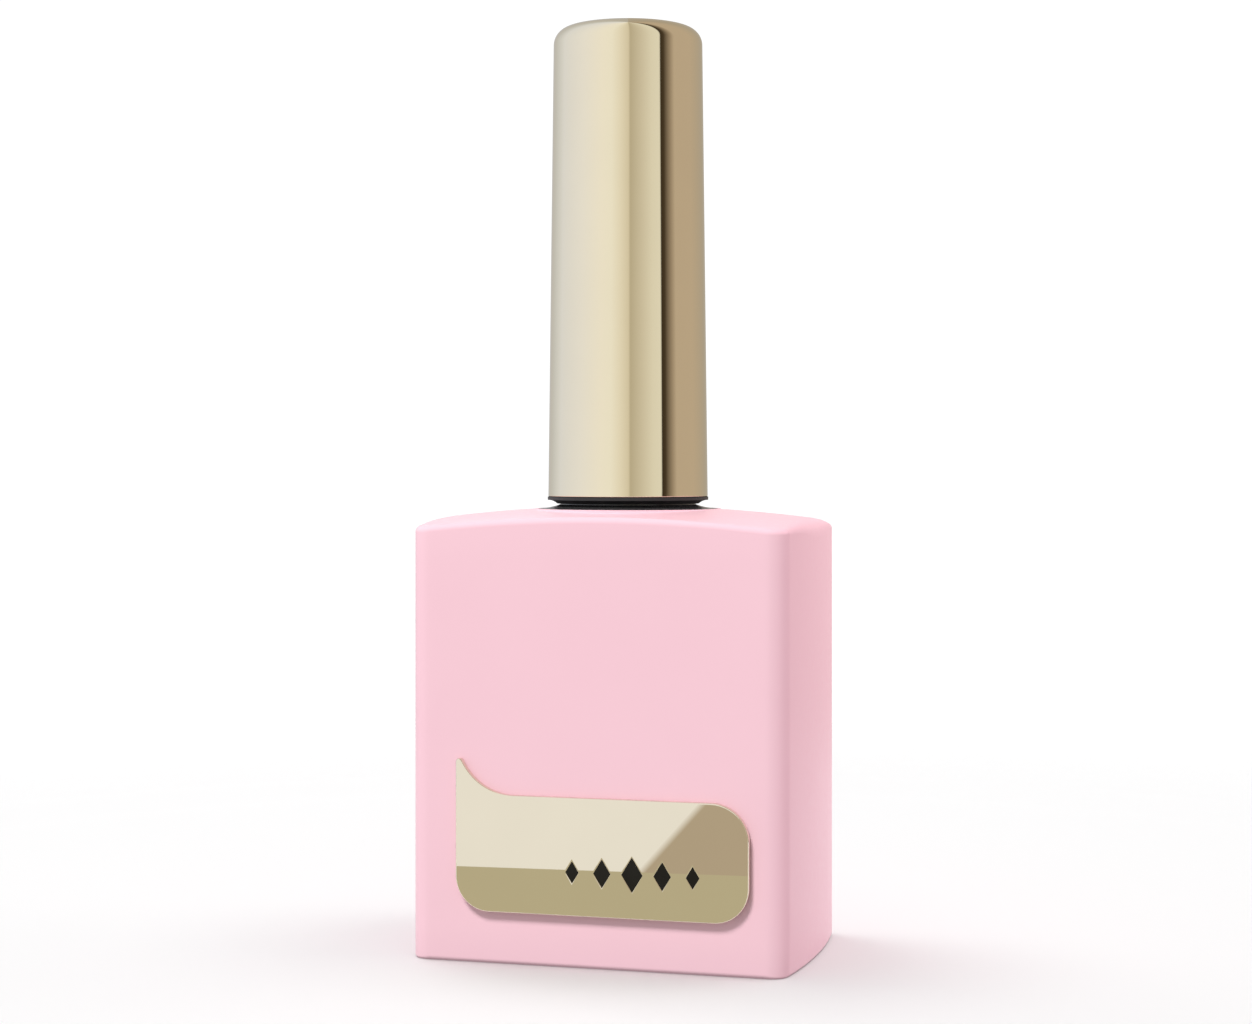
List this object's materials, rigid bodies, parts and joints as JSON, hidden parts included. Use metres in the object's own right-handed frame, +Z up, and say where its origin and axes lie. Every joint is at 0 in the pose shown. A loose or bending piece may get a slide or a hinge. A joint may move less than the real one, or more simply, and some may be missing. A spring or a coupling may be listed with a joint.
{
  "type": "nail polish bottle",
  "caption": "Rectangular lacquered nail polish bottle with a low arched shoulder, a tall tapered screw cap that carries the brush, and a raised metal badge on the front.",
  "frame": {"origin": "on the bottle's upright axis, on the surface that the bottle stands on", "axes": "+Z up along the neck and cap, +X along the wide front face, -Y towards the front face with the badge"},
  "size_m": [0.038, 0.0243, 0.0899],
  "materials": {
    "dark_glass": "glass with a black light-blocking coating, glossy where it shows at the neck",
    "pink_lacquer": "soft pink sprayed lacquer with a satin sheen",
    "natural_plastic": "natural polyethylene, milky and smooth",
    "polish": "liquid polish, glossy",
    "paper_label": "blank white film label",
    "adhesive": "thin clear foam adhesive",
    "badge_gold": "polished pale gold plate",
    "badge_dark": "black enamel inlay",
    "foam_liner": "white closed-cell foam",
    "black_plastic": "black moulded polypropylene",
    "metallised_gold": "pale gold metallised shell, mirror-like with long vertical reflections",
    "stem_plastic": "black moulded polyethylene",
    "staple_steel": "bright flat wire",
    "bristles": "dark synthetic filaments"
  },
  "bodies": {
    "bottle": {"glass_bottle": "dark_glass", "lacquer_coat": "pink_lacquer", "wiper_insert": "natural_plastic", "polish_fill": "polish", "base_label": "paper_label", "badge_tape": "adhesive", "badge_plate": "badge_gold", "badge_inlay": "badge_dark"},
    "liner": {"seal_liner": "foam_liner"},
    "cap": {"inner_cap": "black_plastic", "overcap": "metallised_gold", "brush_stem": "stem_plastic", "bristle_staple": "staple_steel", "brush_bristles": "bristles"}
  },
  "joints": [
    {"name": "cap_lift", "type": "slide", "parent": "bottle", "child": "liner", "axis": [0, 0, 1], "range_m": [0, 0.055]},
    {"name": "cap_turn", "type": "hinge", "parent": "liner", "child": "cap", "pos_m": [0, 0, 0.0545], "axis": [0, 0, 1], "range_deg": [0, 630]}
  ]
}
